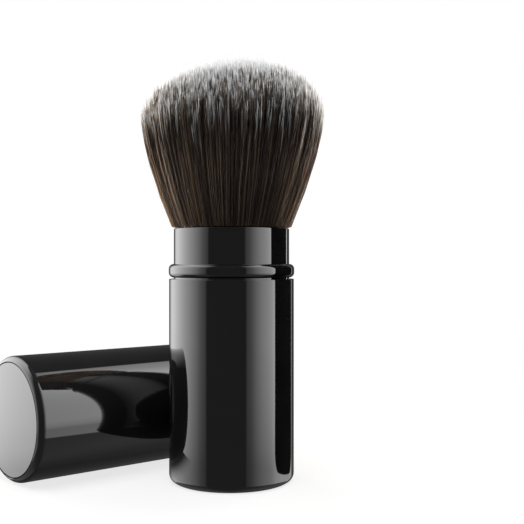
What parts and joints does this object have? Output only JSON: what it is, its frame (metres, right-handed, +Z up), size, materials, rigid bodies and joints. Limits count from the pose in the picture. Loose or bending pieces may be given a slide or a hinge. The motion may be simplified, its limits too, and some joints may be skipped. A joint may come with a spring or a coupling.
{
  "type": "retractable makeup brush",
  "caption": "Retractable makeup brush stood open on its flat base: a sliding sleeve gathers the flared hair head, and its cap lies beside it.",
  "frame": {"origin": "centre of the base's flat underside, on the surface that the brush stands on", "axes": "+Z up along the brush's own axis, which the sleeve slides on; the cap lies along X beside it, at +Y, with its mouth towards +X"},
  "size_m": [0.0685, 0.0719, 0.1075],
  "materials": {
    "lacquer": "gloss black lacquer",
    "end_plate": "gloss black lacquer",
    "plastic": "moulded satin black",
    "liner": "moulded semi-gloss black",
    "silicone": "matt",
    "aluminium": "drawn, satin",
    "steel": "plated",
    "glue": "set resin",
    "hair": "soft fibre, dark at the root and white at the tip"
  },
  "bodies": {
    "base": {"base_shell": "lacquer", "base_foot_disc": "end_plate", "base_plug": "plastic", "carrier_screw": "steel", "head_carrier": "plastic", "guide_bush": "plastic", "friction_ring": "silicone", "ferrule": "aluminium", "bristle_plug": "glue", "bristles_right": "hair", "bristles_back": "hair", "bristles_left": "hair", "bristles_front": "hair"},
    "sleeve": {"sleeve_tube": "lacquer", "trim_ring": "lacquer", "sleeve_liner": "liner", "sleeve_stop_ring": "plastic"},
    "cap": {"cap_shell": "lacquer", "cap_end_disc": "end_plate", "cap_liner": "liner"}
  },
  "joints": [
    {"name": "sleeve_slide", "type": "slide", "parent": "base", "child": "sleeve", "axis": [0, 0, 1], "range_m": [0, 0.0386], "deforming": ["bristles_right", "bristles_back", "bristles_left", "bristles_front"]},
    {"name": "cap_lift", "type": "slide", "parent": "base", "child": "cap", "axis": [0, 0.7071, 0.7071], "range_m": [0, 0.1]}
  ]
}
